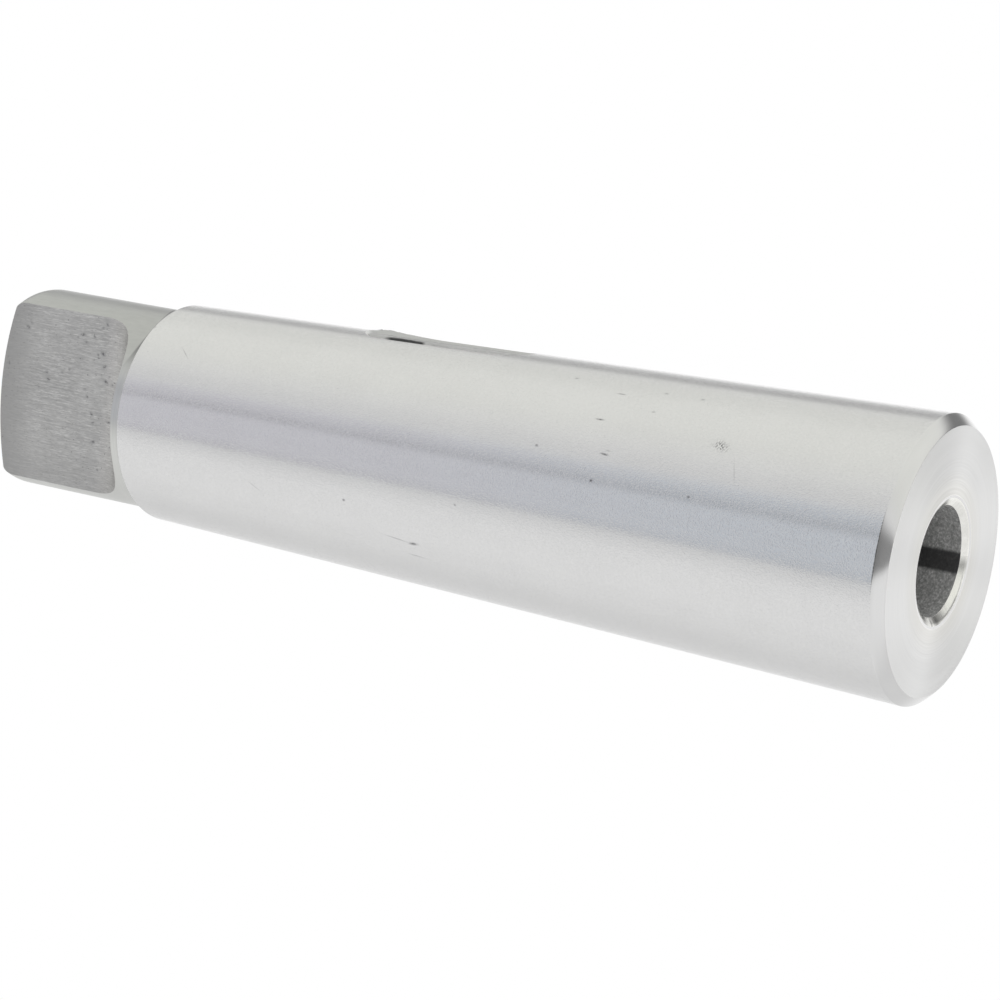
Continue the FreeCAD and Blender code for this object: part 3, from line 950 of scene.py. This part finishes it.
def make_floor(studio):
    """A plain pale floor, open under the sleeve and not seen from below."""
    bm = bmesh.new()
    for radius in (studio.floor_opening, studio.floor_radius):
        bmesh.ops.create_circle(bm, segments=96, radius=radius)
    bmesh.ops.bridge_loops(bm, edges=bm.edges[:])
    bmesh.ops.translate(bm, verts=bm.verts[:], vec=(0, 0, -studio.floor_drop))
    bmesh.ops.recalc_face_normals(bm, faces=bm.faces[:])
    for face in bm.faces:
        if face.normal.z < 0:
            face.normal_flip()
    material = bpy.data.materials.new("floor")
    n = Nodes(material)
    paint = n.add("ShaderNodeBsdfDiffuse", None, {"Color": tuple(studio.floor_colour)})
    clear = n.add("ShaderNodeBsdfTransparent")
    # Far off it fades into the white surroundings, so that no horizon shows.
    distance = Value(n.tree, n.vector("LENGTH", {0: n.point()}))
    far = n.step(distance, studio.fade_start / MM, studio.fade_end / MM)
    under = n.value("ShaderNodeNewGeometry", output="Backfacing")
    mixed = n.add("ShaderNodeMixShader", None,
                  {0: far.most(under), 1: paint.outputs[0], 2: clear.outputs[0]})
    n.add("ShaderNodeOutputMaterial", None, {"Surface": mixed.outputs[0]})
    floor = new_object("floor", bm, [material])
    floor.visible_glossy = False


# Where the soft boxes in front begin and end: azimuth from, azimuth to, change.
FRONT_BOXES = [
    (-38.0, -18.0, -0.150), (-21.0, -16.5, -0.195), (-13.0, -8.0, 0.080), (2.0, 9.0, 0.020),
    (15.5, 19.5, -0.205), (21.0, 26.0, 0.110), (24.0, 41.0, 0.185), (42.0, 64.0, 0.090),
    (64.0, 90.0, 0.050),
]

# Darker strips between the boxes: azimuth of the middle, half the width, the width of the
# soft border before it and after it, then how much is missing low down and high up. Less
# than nothing missing makes a brighter strip.
STRIPS = [
    (56.0, 8.0, 30.0, 26.0, 0.06, 0.0), (152.0, 1.5, 10.0, 24.0, 0.0, 0.48),
    (132.0, 8.0, 18.0, 18.0, 0.0, 0.06), (178.0, 4.0, 8.0, 8.0, 0.0, -0.20),
    (157.0, 4.0, 16.0, 12.0, 0.74, 0.0), (-168.0, 14.0, 14.0, 14.0, -0.11, 0.0),
    (-86.0, 7.0, 14.0, 14.0, 0.0, 0.045), (-126.0, 12.0, 40.0, 30.0, 0.12, 0.15),
]
LOW_STRIP = (5.0, 15.0, 16.0, 28.0)
WARM_SIDE = (105.0, 25.0, 40.0, 25.0)
COOL_SIDE = (8.0, 22.0, 6.0, 12.0)

WHITE = (1.0, 1.0, 1.0)
WARM = (1.0, 1.005, 0.965)
BLUISH = (0.935, 0.992, 1.070)
LILAC = (1.000, 0.985, 1.055)
SOFT_GREY = (0.70, 0.70, 0.70)
DARKEST_GLOW = 0.02

# The soft lamps: name, place and width in metres, power in watts.
LAMPS = [
    ("key_box", (-1.40, -2.20, 3.00), 2.0, 80.0),
    ("fill_box", (2.8, -1.2, 2.4), 2.8, 40.0),
]
LIT_POINT = Vector((0.0, 0.0, 0.05))

CAMERA_PLACE = (0.2998166, 0.0518844, -0.1185815)
CAMERA_TURN = Matrix(((-0.51159, -0.080131, 0.855485),
                      (0.107231, 0.981904, 0.156098),
                      (-0.852512, 0.171592, -0.49374)))


def make_world(studio):
    """White to the camera. Metal shows soft boxes all round, with gaps between them."""
    world = bpy.data.worlds.new("studio")
    bpy.context.scene.world = world
    world.cycles.sampling_method = "NONE"
    n = Nodes(world)
    direction = n.add("ShaderNodeTexCoord").outputs["Generated"]
    x, y, z = n.parts(direction)
    azimuth = n.turn(x, y)
    high = n.step(z, -0.10, 0.34)

    def strip(middle, half, soft_before, soft_after):
        """1 in an upright strip of the surroundings, with soft sides."""
        turn = azimuth.maths("WRAP", azimuth - middle, -180.0, 180.0)
        rise = n.step(turn, -half - soft_before, -half)
        return rise * (1.0 - n.step(turn, half, half + soft_after))

    glow = 1.0
    for start, end, change in FRONT_BOXES:
        glow = glow + n.step(azimuth, start, end) * change * high
    for *place, missing_low, missing_high in STRIPS:
        glow = glow - strip(*place) * (missing_low + high * (missing_high - missing_low))
    # The strip in front is not quite as dark straight below.
    depth = studio.low_gap * (0.72 + 0.28 * n.step(z, -0.98, -0.55))
    glow = glow - strip(*LOW_STRIP) * depth * (1.0 - high)

    band = n.blend(n.step(z, 0.515, 0.560), BLUISH, LILAC)
    tint = n.blend(strip(*WARM_SIDE), WHITE, WARM)
    tint = n.blend(strip(*COOL_SIDE) * high, tint, band)
    boxes = n.vector("SCALE", {0: tint, "Scale": glow.most(DARKEST_GLOW)})

    path = n.add("ShaderNodeLightPath")
    light = n.blend(path.outputs["Is Diffuse Ray"], boxes, SOFT_GREY)
    light = n.blend(path.outputs["Is Camera Ray"], light, WHITE)
    back = n.add("ShaderNodeBackground", None, {"Color": light, "Strength": 1.0})
    n.add("ShaderNodeOutputWorld", None, {"Surface": back.outputs[0]})


def make_lamp(name, place, size, power):
    """A soft box that lights the floor and throws the sleeve's shadow."""
    data = bpy.data.lights.new(name, "AREA")
    data.shape = "SQUARE"
    data.size = size
    data.energy = power
    lamp = bpy.data.objects.new(name, data)
    lamp.location = place
    lamp.rotation_euler = (LIT_POINT - Vector(place)).to_track_quat("-Z", "Y").to_euler()
    lamp.visible_camera = False
    lamp.visible_glossy = False
    bpy.context.scene.collection.objects.link(lamp)


def make_camera(studio):
    """Below the big end and to one side, as the sleeve was photographed."""
    data = bpy.data.cameras.new("camera")
    data.lens = studio.lens
    data.sensor_width = 36.0
    data.clip_start = 0.01
    camera = bpy.data.objects.new("camera", data)
    camera.matrix_world = Matrix.Translation(CAMERA_PLACE) @ CAMERA_TURN.to_4x4()
    bpy.context.scene.collection.objects.link(camera)
    bpy.context.scene.camera = camera


class SLEEVE_OT_studio(bpy.types.Operator):
    """Sets up the floor, the soft light and the camera"""

    bl_idname = "sleeve.studio"
    bl_label = "Studio"
    bl_options = {"REGISTER", "UNDO"}

    def execute(self, context):
        studio = context.scene.sleeve_studio
        make_camera(studio)
        make_floor(studio)
        make_world(studio)
        for name, place, size, power in LAMPS:
            make_lamp(name, place, size, power)
        context.scene.view_settings.view_transform = "Standard"
        return {"FINISHED"}


class SLEEVE_PT_panel(bpy.types.Panel):
    """Sizes, colours and the steps that build the sleeve"""

    bl_idname = "SLEEVE_PT_panel"
    bl_label = "Taper Sleeve"
    bl_space_type = "VIEW_3D"
    bl_region_type = "UI"
    bl_category = "Sleeve"

    def draw(self, context):
        layout = self.layout
        for title, group in (("Sizes", context.scene.sleeve_sizes),
                             ("Colours", context.scene.sleeve_colours),
                             ("Studio", context.scene.sleeve_studio)):
            box = layout.box()
            box.label(text=title)
            for name in group.__annotations__:
                box.prop(group, name)
        layout.operator(SLEEVE_OT_studio.bl_idname)
        layout.operator(SLEEVE_OT_body.bl_idname)


CLASSES = (SleeveSizes, SleeveColours, StudioSettings,
           SLEEVE_OT_studio, SLEEVE_OT_body, SLEEVE_PT_panel)


def register():
    for item in CLASSES:
        bpy.utils.register_class(item)
    bpy.types.Scene.sleeve_sizes = PointerProperty(type=SleeveSizes)
    bpy.types.Scene.sleeve_colours = PointerProperty(type=SleeveColours)
    bpy.types.Scene.sleeve_studio = PointerProperty(type=StudioSettings)


def unregister():
    del bpy.types.Scene.sleeve_studio
    del bpy.types.Scene.sleeve_colours
    del bpy.types.Scene.sleeve_sizes
    for item in reversed(CLASSES):
        bpy.utils.unregister_class(item)


def main():
    register()
    bpy.ops.sleeve.studio()
    bpy.ops.sleeve.body()


if __name__ == "__main__":
    main()
